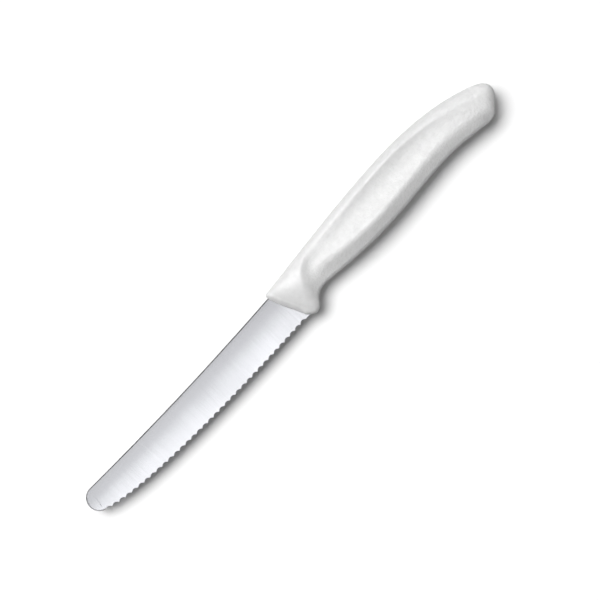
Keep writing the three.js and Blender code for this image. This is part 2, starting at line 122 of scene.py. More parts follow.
def linear(code):
    """An sRGB hex colour as the linear colour that Blender's shaders take."""
    channels = [int(code[i : i + 2], 16) / 255 for i in (1, 3, 5)]
    return (*[c / 12.92 if c <= 0.04045 else ((c + 0.055) / 1.055) ** 2.4 for c in channels], 1.0)


def length(label, words, value):
    """A length property, given in millimetres and kept in metres."""
    return FloatProperty(name=label, description=words, default=value * MM, unit="LENGTH", precision=5)


def angle(label, words, value):
    """An angle property, given in degrees."""
    return FloatProperty(name=label, description=words, default=math.radians(value), subtype="ANGLE")


def colour(label, words, code):
    """A colour property, given as an sRGB hex value."""
    return FloatVectorProperty(name=label, description=words, default=linear(code), subtype="COLOR", size=4)


def share(label, words, value):
    """A property between 0 and 1."""
    return FloatProperty(name=label, description=words, default=value, min=0, max=1, subtype="FACTOR")


def strength(label, words, value):
    """A property for the strength of a light."""
    return FloatProperty(name=label, description=words, default=value)


class KnifeBladeSettings(bpy.types.PropertyGroup):
    """Sizes and finish of the blade"""

    length: length("Length", "Heel to tip", 110)
    height: length("Height", "Spine to edge at the heel", 16.05)
    spine_height: length("Spine height", "Spine above the knife's axis, at the heel", 6.3)
    spine_fall: length("Spine fall", "Drop of the spine from heel to tip", 1.8)
    spine_hollow: length("Spine hollow", "How far the spine dips below a straight line", 1.0)
    spine_chamfer: length("Spine chamfer", "Width of the broken corners of spine and tip", 0.42)
    tip_radius: length("Tip radius", "Radius of the round tip", 5.05)
    tip_edge_angle: angle("Tip edge angle", "Angle at which the edge leaves the tip", 25)
    tip_edge_reach: length("Tip edge reach", "How long the edge keeps that direction", 17.2)
    heel_edge_angle: angle("Heel edge angle", "Angle at which the edge leaves the heel", 2.4)
    heel_edge_reach: length("Heel edge reach", "How long the edge keeps that direction", 24.7)
    sheet_thickness: length("Sheet thickness", "Thickness of the stamped sheet", 1.2)
    heel_thickness: length("Heel thickness", "Ground thickness at the heel end of the spine", 1.1)
    tip_thickness: length("Tip thickness", "Ground thickness at the tip", 0.8)
    tip_grind: length("Tip grind", "Depth of the taper on each face, near the tip", 0.4)
    heel_grind: length("Heel grind", "Depth of the taper on each face, at the heel", 0.24)
    flat_band: length("Flat band", "Parallel faces under the spine", 4)
    taper_stop: length("Taper stop", "The thickness stays even this close to the heel", 8)
    grind_run_out: length("Grind run-out", "Length in the handle back to the full sheet", 10)
    scallop_pitch: length("Scallop pitch", "Length of one scallop along the edge", 3.02)
    scallop_depth: length("Scallop depth", "Depth of one scallop", 0.9)
    scallop_angle: angle("Scallop angle", "Between a ground scallop and the blade's face", 20)
    plain_heel: length("Plain heel", "Unground edge in front of the handle", 1.35)
    heel_buried: length("Buried heel", "Edge that runs on under the handle", 2.2)
    tang_start: length("Tang start", "Heel to the root of the tang", 9)
    tang_root_height: length("Tang root", "Height of the tang at its root", 9)
    tang_end_height: length("Tang end", "Height of the tang at its end", 7.6)
    tang_rise: length("Tang rise", "Climb of the tang's upper side", 0.7)
    tang_length: length("Tang length", "Heel to the end of the tang", 72)
    steel: colour("Steel", "Colour of the steel", "#cbccd0")
    roughness: share("Roughness", "Roughness of the ground face", 0.22)


class KnifeHandleSettings(bpy.types.PropertyGroup):
    """Sizes and finish of the handle"""

    length: length("Length", "Heel to butt", 111)
    front_lean: length("Front lean", "Lean of the front edge towards the tip", 5.95)
    front_lip: length("Front lip", "Plastic over the spine at the front edge", 0.3)
    front_wall: length("Front wall", "Plastic beside the blade at the front edge", 0.55)
    front_round: length("Front round", "Round along the front edge", 0.3)
    front_slope: angle("Front slope", "Slope of the front facet", 35)
    front_bow: length("Front bow", "How far that facet bulges", 0.3)
    front_run: length("Front run", "Width over which it bulges", 5.5)
    front_blend: length("Front blend", "Softness between the front facet and the cheek", 2.4)
    edge_bare: length("Bare edge", "Cutting edge left bare under the front edge", 0.85)
    neck_cover: length("Neck cover", "Plastic over the spine behind the front edge", 1.43)
    neck_setback: length("Neck setback", "Length of the front edge's upper corner", 1.95)
    crown_height: length("Crown height", "Highest point of the back, above the axis", 13.1)
    crown_from_butt: length("Crown from butt", "Distance from that point to the butt", 44.3)
    shoulder_height: length("Shoulder height", "Where the back turns down into the butt", 7.15)
    shoulder_from_butt: length("Shoulder from butt", "Distance from there to the butt", 7)
    butt_height: length("Butt height", "Height of the furthest point", 1.0)
    guard_cover: length("Guard cover", "Reach of the finger guard below the edge", 1.4)
    guard_station: length("Guard station", "Heel to the guard's lowest point", 3.9)
    choil_drop: length("Choil drop", "Forefinger hollow, below the axis", 5.73)
    choil_station: length("Choil station", "Heel to that hollow", 13)
    belly_drop: length("Belly drop", "Belly, below the axis", 7.77)
    belly_station: length("Belly station", "Heel to the belly", 44)
    waist_drop: length("Waist drop", "Little finger hollow, below the axis", 5.84)
    waist_from_butt: length("Waist from butt", "That hollow to the butt", 29.5)
    hook_drop: length("Hook drop", "Lower corner of the butt, below the axis", 7.92)
    hook_from_butt: length("Hook from butt", "That corner to the butt", 10.2)
    hook_length: length("Hook length", "Length of that corner's round", 5.3)
    hook_rise: length("Hook rise", "Rise of that corner's round", 2.02)
    cheek_half: length("Cheek", "Half thickness of the cheek behind the front facet", 4.4)
    cheek_spread: angle("Cheek spread", "By which the cheeks widen towards the butt", 8)
    cheek_axis: length("Cheek axis", "Height at which a cheek stands furthest out", 2)
    cheek_radius: length("Cheek radius", "Radius of the cheek, across the handle", 70)
    back_round: length("Back round", "Round along the back", 2.5)
    neck_slope: angle("Neck slope", "Slope of the bevel below that round, in front", 30)
    back_slope: angle("Back slope", "Slope of that bevel from the crown on", 49)
    shoulder_blend: length("Shoulder blend", "Softness between bevel and cheek", 2.2)
    belly_wall: length("Belly wall", "Half height of the upright wall along the finger side", 1.6)
    choil_thinning: length("Choil thinning", "How much thinner the finger side's wall is at the choil", 1.4)
    belly_round: length("Belly round", "Round above that wall", 1.3)
    ridge_rise: length("Ridge rise", "Widest line, above the finger side", 5.4)
    ridge_front_rise: length("Ridge front rise", "Climb of that line towards the guard", 1.0)
    ridge_rear_fall: length("Ridge rear fall", "Drop of that line at the butt", 1.1)
    ridge_blend: length("Ridge blend", "Softness of that line", 2.0)
    ridge_rear_blend: length("Ridge rear blend", "Softness of that line at the butt", 0.9)
    guard_swell: length("Guard swell", "What the flank gains at the guard", 1.5)
    butt_round: length("Butt round", "Round along the butt", 4.4)
    scoop_half: length("Scoop", "Half thickness at the bottom of the scoop, in front", 3.2)
    scoop_spread: angle("Scoop spread", "By which the scoops part towards the butt", 1.3)
    scoop_rear_half: length("Scoop rear", "Half thickness where the scoop has run out", 5.9)
    rear_axis: length("Rear axis", "Height at which the cheek stands furthest out there", 4)
    rear_radius: length("Rear radius", "Radius of the cheek there, across the handle", 80)
    scoop_radius: length("Scoop radius", "Radius of the scoop, across the handle", 13)
    scoop_line: length("Scoop line", "Height of the scoop's deepest line", 6)
    scoop_front_fall: length("Scoop front fall", "Drop of that line towards the guard", 6)
    scoop_rear_fall: length("Scoop rear fall", "Drop of that line towards the butt", 3)
    scoop_run_out: length("Scoop run-out", "Length over which the scoop fades", 35)
    scoop_wall: length("Scoop wall", "Width of the wall below the crease", 4)
    scoop_wall_base: length("Scoop wall base", "Width of that wall at the guard", 9)
    scoop_wall_slope: angle("Scoop wall slope", "Slope of that wall at the crease", 37)
    crease_start: length("Crease start", "Station at which the crease leaves the guard", 6.8)
    crease_turn: length("Crease turn", "Station at which it turns towards the back", 6.2)
    crease_height: length("Crease height", "Height at which it turns", 5.6)
    crease_length: length("Crease length", "Heel to the end of the crease", 20)
    crease_cover: length("Crease cover", "End of the crease, below the back", 3.0)
    crease_blend: length("Crease blend", "Softness of the crease", 1.4)
    rear_blend: length("Rear blend", "Softness of the scoop's border at the butt", 3)
    wall_fade: length("Wall fade", "Station from which the wall below the crease fades", 6)
    wall_end: length("Wall end", "Station at which that wall has faded", 18)
    plastic: colour("Plastic", "Colour of the plastic", "#d5d5d5")
    plastic_cloud: colour("Plastic cloud", "Colour of its greyer clouds", "#cecece")
    roughness: share("Roughness", "Roughness of the moulded surface", 0.42)


class KnifeStageSettings(bpy.types.PropertyGroup):
    """Camera, floor and light"""

    turn: angle("Turn", "Angle between the knife and the frame", 46)
    frame_width: length("Frame width", "Width of the picture at the blade", 228.4)
    centre_x: length("Centre X", "Centre of the picture, along the knife from the heel", 2.275)
    centre_y: length("Centre Y", "Centre of the picture, across the knife from its axis", -3.223)
    lens: FloatProperty(name="Lens", description="Focal length of the camera", default=100, unit="CAMERA")
    floor: colour("Floor", "Colour of the floor", "#f7f7f7")
    floor_bounce: colour("Floor bounce", "Colour of the light that the floor throws back", "#cccccc")
    key_side: angle("Key side", "Direction of the key light round the knife, from the butt", 108)
    key_height: angle("Key height", "Elevation of the key light", 57)
    key_spread: angle("Key spread", "Width of the key light as the knife sees it", 40)
    key_light: strength("Key light", "Strength of the key light", 2.5)
    floor_turn: angle("Floor turn", "How much further round the wide lights for the floor stand", 14)
    side_height: angle("Side height", "Elevation of the second key light", 60)
    side_light: strength("Side light", "Strength of the second key light", 1.3)
    fill_height: angle("Fill height", "Elevation of the fill light", 9)
    fill_spread: angle("Fill spread", "Width of the fill light as the knife sees it", 40)
    fill_light: strength("Fill light", "Strength of the fill light", 0.55)
    strip_light: strength("Strip light", "Power of the strip above", 0.4)
    room_light: strength("Room light", "Brightness of the room", 0.04)
    ceiling_light: strength("Ceiling light", "Brightness of the room's ceiling in the steel", 0.42)
    wall_light: strength("Wall light", "Brightness of the room's walls in the steel", 0.85)
    wall_foot: angle("Wall foot", "Elevation at which the walls begin to show", 12)
    wall_top: angle("Wall top", "Elevation at which the walls have faded into the ceiling", 55)


# Curves in the plane of the knife


def smooth(x, low, high):
    """From 0 at low to 1 at high, level at both ends."""
    t = np.clip((x - low) / (high - low), 0, 1)
    return t * t * (3 - 2 * t)


def mix(a, b, t):
    """From a to b, by a share of the way."""
    return a + (b - a) * t


def cubic(a, b, c, d, t):
    """Points on a cubic curve."""
    t = np.asarray(t)[:, None]
    return a * (1 - t) ** 3 + 3 * b * t * (1 - t) ** 2 + 3 * c * t**2 * (1 - t) + d * t**3


def quadratic(a, b, c, t):
    """Points on a quadratic curve."""
    t = np.asarray(t)[:, None]
    return a * (1 - t) ** 2 + 2 * b * t * (1 - t) + c * t**2


def heading(radians):
    """The unit vector in a direction."""
    return np.array((math.cos(radians), math.sin(radians)))


def outline(start, *curves):
    """Points along cubic curves that follow each other, with their control points as shares of the way."""
    steps = np.linspace(0, 1, CURVE_STEPS)
    points = [start[None]]
    for end, (leave_run, leave_rise, reach_run, reach_rise) in curves:
        begin = points[-1][-1]
        way = end - begin
        leave = begin + way * (leave_run, leave_rise)
        reach = end - way * (reach_run, reach_rise)
        points.append(cubic(begin, leave, reach, end, steps)[1:])
    return np.concatenate(points)


def measured(line):
    """How far along a line each of its points lies."""
    return np.concatenate(([0], np.cumsum(np.linalg.norm(np.diff(line, axis=0), axis=1))))


def along(line, distance):
    """The points at given distances along a line."""
    stations = measured(line)
    return np.stack([np.interp(distance, stations, line[:, i]) for i in (0, 1)], axis=-1)


def spaced(line, count):
    """A line's points, evenly spaced."""
    return along(line, np.linspace(0, measured(line)[-1], count))


def offset(places, line):
    """How far each place lies from a line, negative on the line's left."""
    least = np.full(len(places), np.inf)
    side = np.ones(len(places))
    for begin, end in zip(line[:-1], line[1:]):
        step = end - begin
        out = places - begin
        turn = out[:, 0] * step[1] - out[:, 1] * step[0]
        t = np.clip(out @ step / max(step @ step, LEAST_STEP), 0, 1)
        away = np.linalg.norm(out - t[:, None] * step, axis=1)
        closer = away < least
        least = np.where(closer, away, least)
        side = np.where(closer, np.sign(turn), side)
    return least * side


def round_edge(depth, radius):
    """Height of a quarter round at a depth in from its edge."""
    short = 1 - np.minimum(depth, radius) / radius
    return radius * np.sqrt(np.maximum(1 - short**2, 0))


def soft(a, b, width):
    """The lower of two heights, with the corner between them rounded off."""
    return np.minimum(a, b) - np.maximum(width - np.abs(a - b), 0) ** 2 / (4 * width)


def knife_place(settings):
    """Where the heel lies in the frame: the handle's box fixes it."""
    low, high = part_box("handle")
    return np.array((high.x - settings.length, high.y - settings.crown_height, (low.z + high.z) / 2))


def mesh_object(name, points, faces, sharp, masks=None):
    """A smooth shaded object with its points welded, and with edges sharper than an angle kept sharp."""
    mesh = bpy.data.meshes.new(name)
    mesh.from_pydata(points.tolist(), [], faces)
    for label, values in (masks or {}).items():
        mask = mesh.attributes.new(label, "FLOAT", "POINT")
        mask.data.foreach_set("value", values.astype(np.float32))
    shape = bmesh.new()
    shape.from_mesh(mesh)
    bmesh.ops.remove_doubles(shape, verts=shape.verts, dist=WELD)
    shape.to_mesh(mesh)
    shape.free()
    mesh.validate()
    mesh.shade_smooth()
    mesh.set_sharp_from_angle(angle=sharp)
    piece = bpy.data.objects.new(name, mesh)
    bpy.context.scene.collection.objects.link(piece)
    return piece


# Materials


def add(tree, kind, inputs=None, **settings):
    """A new node with its settings, and with its inputs set or linked."""
    node = tree.nodes.new(kind)
    for name, value in settings.items():
        setattr(node, name, value)
    for name, value in (inputs or {}).items():
        socket = node.inputs[name]
        if isinstance(value, bpy.types.NodeSocket):
            tree.links.new(value, socket)
        else:
            socket.default_value = value
    return node


def new_material(name):
    """An empty material and its node tree."""
    material = bpy.data.materials.new(name)
    material.use_nodes = True
    material.node_tree.nodes.clear()
    return material, material.node_tree


def ground_stainless_steel(settings):
    """Stainless sheet, ground across the blade and lightly polished.

    The eye gets a soft satin mirror with a cool tint, and fine streaks from spine to edge.
    """
    material, tree = new_material("ground_stainless_steel")
    # Grinding lines of about 0.05 mm are too fine to show, so they are drawn 0.25 mm apart.
    streak_width = 0.25 * MM
    streak_length = 14 * MM
    streak_depth = 0.01 * MM
    cloud_size = 18 * MM
    streak_change = 0.015
    cloud_change = 0.02
    place = add(tree, "ShaderNodeTexCoord").outputs["Object"]
    along_streaks = add(
        tree,
        "ShaderNodeMapping",
        {"Vector": place, "Scale": (1 / streak_width, 1 / streak_length, 1 / streak_length)},
    ).outputs["Vector"]
    streaks = add(
        tree, "ShaderNodeTexNoise", {"Vector": along_streaks, "Scale": 1, "Detail": 3, "Roughness": 0.6}
    ).outputs["Fac"]
    clouds = add(
        tree, "ShaderNodeTexNoise", {"Vector": place, "Scale": 1 / cloud_size, "Detail": 2}
    ).outputs["Fac"]
    streaked = add(
        tree,
        "ShaderNodeMapRange",
        {
            "Value": streaks,
            "From Min": NOISE_LOW,
            "From Max": NOISE_HIGH,
            "To Min": -streak_change,
            "To Max": streak_change,
        },
    ).outputs["Result"]
    clouded = add(
        tree,
        "ShaderNodeMapRange",
        {
            "Value": clouds,
            "From Min": NOISE_LOW,
            "From Max": NOISE_HIGH,
            "To Min": settings.roughness - cloud_change,
            "To Max": settings.roughness + cloud_change,
        },
    ).outputs["Result"]
    rough = add(tree, "ShaderNodeMath", {0: streaked, 1: clouded}, operation="ADD").outputs["Value"]
    relief = add(tree, "ShaderNodeBump", {"Height": streaks, "Strength": 0.03, "Distance": streak_depth})
    surface = add(
        tree,
        "ShaderNodeBsdfPrincipled",
        {
            "Base Color": settings.steel,
            "Metallic": 1.0,
            "Roughness": rough,
            "Normal": relief.outputs["Normal"],
        },
    )
    add(tree, "ShaderNodeOutputMaterial", {"Surface": surface.outputs["BSDF"]})
    return material


def moulded_polypropylene(settings):
    """White polypropylene from a spark-eroded mould.

    The eye gets a soft milky white with faint clouds of tone, a dull gloss, and a fine grain on the grip.
    """
    material, tree = new_material("moulded_polypropylene")
    grain_size = 1.0 * MM
    grain_depth = 0.25 * MM
    mottle_size = 2.2 * MM
    mottle_change = 0.04
    place = add(tree, "ShaderNodeTexCoord").outputs["Object"]
    grip = add(tree, "ShaderNodeAttribute", attribute_name="grip").outputs["Fac"]
    grain = add(
        tree,
        "ShaderNodeTexNoise",
        {"Vector": place, "Scale": 1 / grain_size, "Detail": 3, "Roughness": 0.6},
    ).outputs["Fac"]
    mottle = add(
        tree, "ShaderNodeTexNoise", {"Vector": place, "Scale": 1 / mottle_size, "Detail": 2}
    ).outputs["Fac"]
    rough = add(
        tree,
        "ShaderNodeMapRange",
        {
            "Value": mottle,
            "From Min": NOISE_LOW,
            "From Max": NOISE_HIGH,
            "To Min": settings.roughness - mottle_change,
            "To Max": settings.roughness + mottle_change,
        },
    ).outputs["Result"]
    cloud = add(
        tree, "ShaderNodeMapRange", {"Value": mottle, "From Min": NOISE_LOW, "From Max": NOISE_HIGH}
    ).outputs["Result"]
    tone = add(
        tree,
        "ShaderNodeMixRGB",
        {"Fac": cloud, "Color1": settings.plastic, "Color2": settings.plastic_cloud},
    ).outputs["Color"]
    relief = add(tree, "ShaderNodeBump", {"Height": grain, "Strength": grip, "Distance": grain_depth})
    surface = add(
        tree,
        "ShaderNodeBsdfPrincipled",
        {"Base Color": tone, "Roughness": rough, "IOR": 1.49, "Normal": relief.outputs["Normal"]},
    )
    add(tree, "ShaderNodeOutputMaterial", {"Surface": surface.outputs["BSDF"]})
    return material


def white_card(settings):
    """Coated white card, which gives an even matt floor.

    It throws less light back at the knife than it shows, so that the white handle stands out against it.
    """
    material, tree = new_material("white_card")
    seen = add(tree, "ShaderNodeLightPath").outputs["Is Camera Ray"]
    tone = add(
        tree,
        "ShaderNodeMixRGB",
        {"Fac": seen, "Color1": settings.floor_bounce, "Color2": settings.floor},
    ).outputs["Color"]
    surface = add(tree, "ShaderNodeBsdfDiffuse", {"Color": tone})
    add(tree, "ShaderNodeOutputMaterial", {"Surface": surface.outputs["BSDF"]})
    return material


# Blade


class BladeForm:
    """The blade's outline and thickness, worked out from its settings."""

    def __init__(self, settings):
        self.s = s = settings
        self.heel = np.array((0, s.spine_height - s.height))
        self.tip = np.array((s.tip_radius - s.length, s.spine_height - s.spine_fall - s.tip_radius))
        self.spine_start = self.tip + (0, s.tip_radius)
        self.spine_end = np.array((0, s.spine_height))
        self.edge_angle = 1.5 * math.pi - s.tip_edge_angle
        self.edge_end = self.tip + s.tip_radius * heading(self.edge_angle)
        self.edge = cubic(
            self.heel,
            self.heel + s.heel_edge_reach * heading(math.pi + s.heel_edge_angle),
            self.edge_end + s.tip_edge_reach * heading(-s.tip_edge_angle),
            self.edge_end,
            np.linspace(0, 1, 5 * CURVE_STEPS),
        )
        self.edge_length = measured(self.edge)[-1]
        self.scallops = int((self.edge_length - s.plain_heel) / s.scallop_pitch)

    def spine(self, x):
        """Height of the spine, and of the tang's upper side behind the heel."""
        s = self.s
        t = (x - self.spine_start[0]) / (self.spine_end[0] - self.spine_start[0])
        dip = (self.spine_start[1] + self.spine_end[1]) / 2 - 2 * s.spine_hollow
        blade = (1 - t) ** 2 * self.spine_start[1] + 2 * t * (1 - t) * dip + t**2 * self.spine_end[1]
        tang = s.spine_height + s.tang_rise * x / (s.tang_length - s.tang_end_height / 2)
        return np.where(x < 0, blade, tang)

    def ground(self, places):
        """Half the ground thickness at each place."""
        s = self.s
        x, y = places.T
        band = self.spine(np.minimum(x, 0)) - s.flat_band
        across = np.maximum(band - y, 0) / (s.height - s.flat_band)
        back = np.clip((x + s.length) / (s.length - s.taper_stop), 0, 1)
        thinned = mix(s.tip_thickness, s.heel_thickness, back)
        half = thinned / 2 - mix(s.tip_grind, s.heel_grind, back) * across**2
        return mix(half, s.sheet_thickness / 2, np.clip((x - s.heel_buried) / s.grind_run_out, 0, 1))

    def rounding(self, places, half):
        """How much the broken corners of spine and tip take off each face."""
        s = self.s
        x, y = places.T
        from_tip = s.tip_radius - np.linalg.norm(places - self.tip, axis=1)
        inside = np.where(x < self.tip[0], from_tip, self.spine(x) - y)
        width = np.minimum(s.spine_chamfer, CHAMFER_SHARE * half)
        return CHAMFER_FALL * np.clip(width - inside, 0, width)

    def ground_scallops(self, places):
        """Height of the wheel's cut at each place: the highest of the scallops round it."""
        s = self.s
        drop = s.scallop_depth * math.sin(s.scallop_angle)
        rim = ((s.scallop_pitch / 2) ** 2 + drop**2) / (2 * drop)
        highest = np.full(len(places), -np.inf)
        for i in range(self.scallops):
            middle = s.plain_heel + (i + 0.5) * s.scallop_pitch
            before, centre, after = along(self.edge, np.array((middle - MM, middle, middle + MM)))
            forward = (after - before) / np.linalg.norm(after - before)
            inward = np.array((forward[1], -forward[0]))
            near = np.linalg.norm(places - centre, axis=1) < 2 * s.scallop_pitch
            out = places[near] - centre
            beside = np.minimum(np.abs(out @ forward), rim)
            fall = rim - np.sqrt(rim**2 - beside**2)
            rise = (s.scallop_depth - out @ inward) * math.tan(s.scallop_angle)
            cut = self.ground(centre[None])[0] + rise - fall / math.cos(s.scallop_angle)
            highest[near] = np.maximum(highest[near], cut)
        return highest

    def tang_end(self):
        """Lower and upper half of the tang's round end, from its middle on."""
        s = self.s
        top = s.spine_height + s.tang_rise
        bend = s.tang_length - s.tang_end_height / 2
        middle = np.array((s.tang_length, top - s.tang_end_height / 2))
        turns = np.linspace(0, 1, TANG_STEPS)
        halves = []
        for height in (top - s.tang_end_height, top):
            corner = np.array((s.tang_length, height))
            halves.append(quadratic(middle, corner, np.array((bend, height)), turns))
        return halves

    def tang_sides(self, start):
        """Lower and upper side of the tang, from its round end to the heel."""
        s = self.s
        root = np.array((s.tang_start, s.spine_height - s.tang_root_height))
        buried = np.array((s.heel_buried, self.heel[1]))
        steps = np.linspace(0, 1, TANG_STEPS)[1:, None]
        last_steps = np.linspace(0, 1, PLAIN_STEPS)[1:, None]
        under = np.concatenate(
            (mix(start, root, steps), mix(root, buried, steps), mix(buried, self.heel, last_steps))
        )
        return under, np.stack((under[:, 0], self.spine(under[:, 0])), axis=-1)

    def edge_and_spine(self):
        """Cutting edge and spine, from the heel to the tip's round."""
        s = self.s
        last = s.plain_heel + self.scallops * s.scallop_pitch
        stations = np.concatenate(
            (
                np.linspace(0, s.plain_heel, PLAIN_STEPS)[1:-1],
                np.linspace(s.plain_heel, last, self.scallops * SCALLOP_STEPS + 1),
                np.linspace(last, self.edge_length, PLAIN_STEPS)[1:],
            )
        )
        x = mix(0, self.spine_start[0], stations / self.edge_length)
        return along(self.edge, stations), np.stack((x, self.spine(x)), axis=-1)

    def tip_round(self, middle):
        """Lower and upper half of the tip's round, up to its middle."""
        turns = np.linspace(0, 1, TIP_STEPS)[1:]
        halves = []
        for start in (self.edge_angle, math.pi / 2):
            halves.append([self.tip + self.s.tip_radius * heading(a) for a in mix(start, middle, turns)])
        return halves

    def columns(self):
        """Pairs of points on the lower and upper outline, from tang to tip, and their ways inwards."""
        middle = (self.edge_angle + math.pi / 2) / 2
        low_end, high_end = self.tang_end()
        under, over = self.tang_sides(low_end[-1])
        edge, spine = self.edge_and_spine()
        low_tip, high_tip = self.tip_round(middle)
        low = np.concatenate((low_end, under, edge, low_tip))
        high = np.concatenate((high_end, over, spine, high_tip))
        across = high - low
        across[0] = (-1, 0)
        across[-1] = -heading(middle)
        low_in = across / np.linalg.norm(across, axis=1)[:, None]
        high_in = -low_in
        tips = len(low_tip)
        low_in[-tips:] = (self.tip - low[-tips:]) / self.s.tip_radius
        high_in[-tips:] = (self.tip - high[-tips:]) / self.s.tip_radius
        ends = len(low_end)
        turning = np.linspace(0, math.pi / 2, ends)[:, None]
        low_in[:ends] = np.cos(turning) * (-1, 0) + np.sin(turning) * (0, 1)
        high_in[:ends] = np.cos(turning) * (-1, 0) - np.sin(turning) * (0, 1)
        return low, high, low_in, high_in


def blade_piece(settings, place):
    """The blade as two faces over one grid of columns, closed along the outline."""
    form = BladeForm(settings)
    low, high, low_in, high_in = form.columns()
    start = np.zeros(len(low))
    for _ in range(EDGE_PASSES):
        points = low + start[:, None] * low_in
        over = form.ground_scallops(points) - form.ground(points)
        over = np.where(np.isfinite(over), over, 0)
        start = np.maximum(start + over / math.tan(settings.scallop_angle), 0)
    low = low + start[:, None] * low_in
    fit = np.minimum(1, 0.5 * np.linalg.norm(high - low, axis=1) / (EDGE_ROWS[-1] + SPINE_ROWS[0]))
    fit = np.maximum(fit, SMALLEST_FIT)[:, None]
    rows = [low + fit * d * low_in for d in EDGE_ROWS]
    top = [high + fit * d * high_in for d in SPINE_ROWS]
    shares = np.arange(1, FACE_ROWS + 1) / (FACE_ROWS + 1)
    rows = np.stack(rows + [mix(rows[-1], top[0], t) for t in shares] + top, axis=1)
    columns, count = rows.shape[:2]
    # The first and the last column fold back on themselves, so both their halves get the same places.
    folded = np.minimum(np.arange(count), np.arange(count)[::-1])
    for end in (0, -1):
        rows[end] = rows[end, ::-1][folded]
    flat = rows.reshape(-1, 2)
    half = form.ground(flat)
    half -= form.rounding(flat, half)
    far = np.maximum(-half, form.ground_scallops(flat))
    far = np.minimum(far, half - EDGE_LAND)
    points = np.concatenate((np.column_stack((flat, half)), np.column_stack((flat, far)))) + place
    total = len(flat)
    faces = []
    for i in range(columns - 1):
        for j in range(count - 1):
            a = i * count + j
            b = a + count
            faces.append((a, a + 1, b + 1, b))
            faces.append((total + a, total + b, total + b + 1, total + a + 1))
        a = i * count
        b = a + count
        faces.append((a, b, total + b, total + a))
        a += count - 1
        b += count - 1
        faces.append((a, total + a, total + b, b))
    return mesh_object("knife_blade", points, faces, BLADE_SHARP)


class KNIFE_OT_blade(bpy.types.Operator):
    """Build the ground blade with its scalloped edge and its tang"""

    bl_idname = "knife.blade"
    bl_label = "Blade"

    def execute(self, context):
        settings = context.scene.knife_blade
        piece = blade_piece(settings, knife_place(context.scene.knife_handle))
        piece.data.materials.append(ground_stainless_steel(settings))
        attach(piece, "root")
        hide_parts("blade")
        return {"FINISHED"}


# Handle


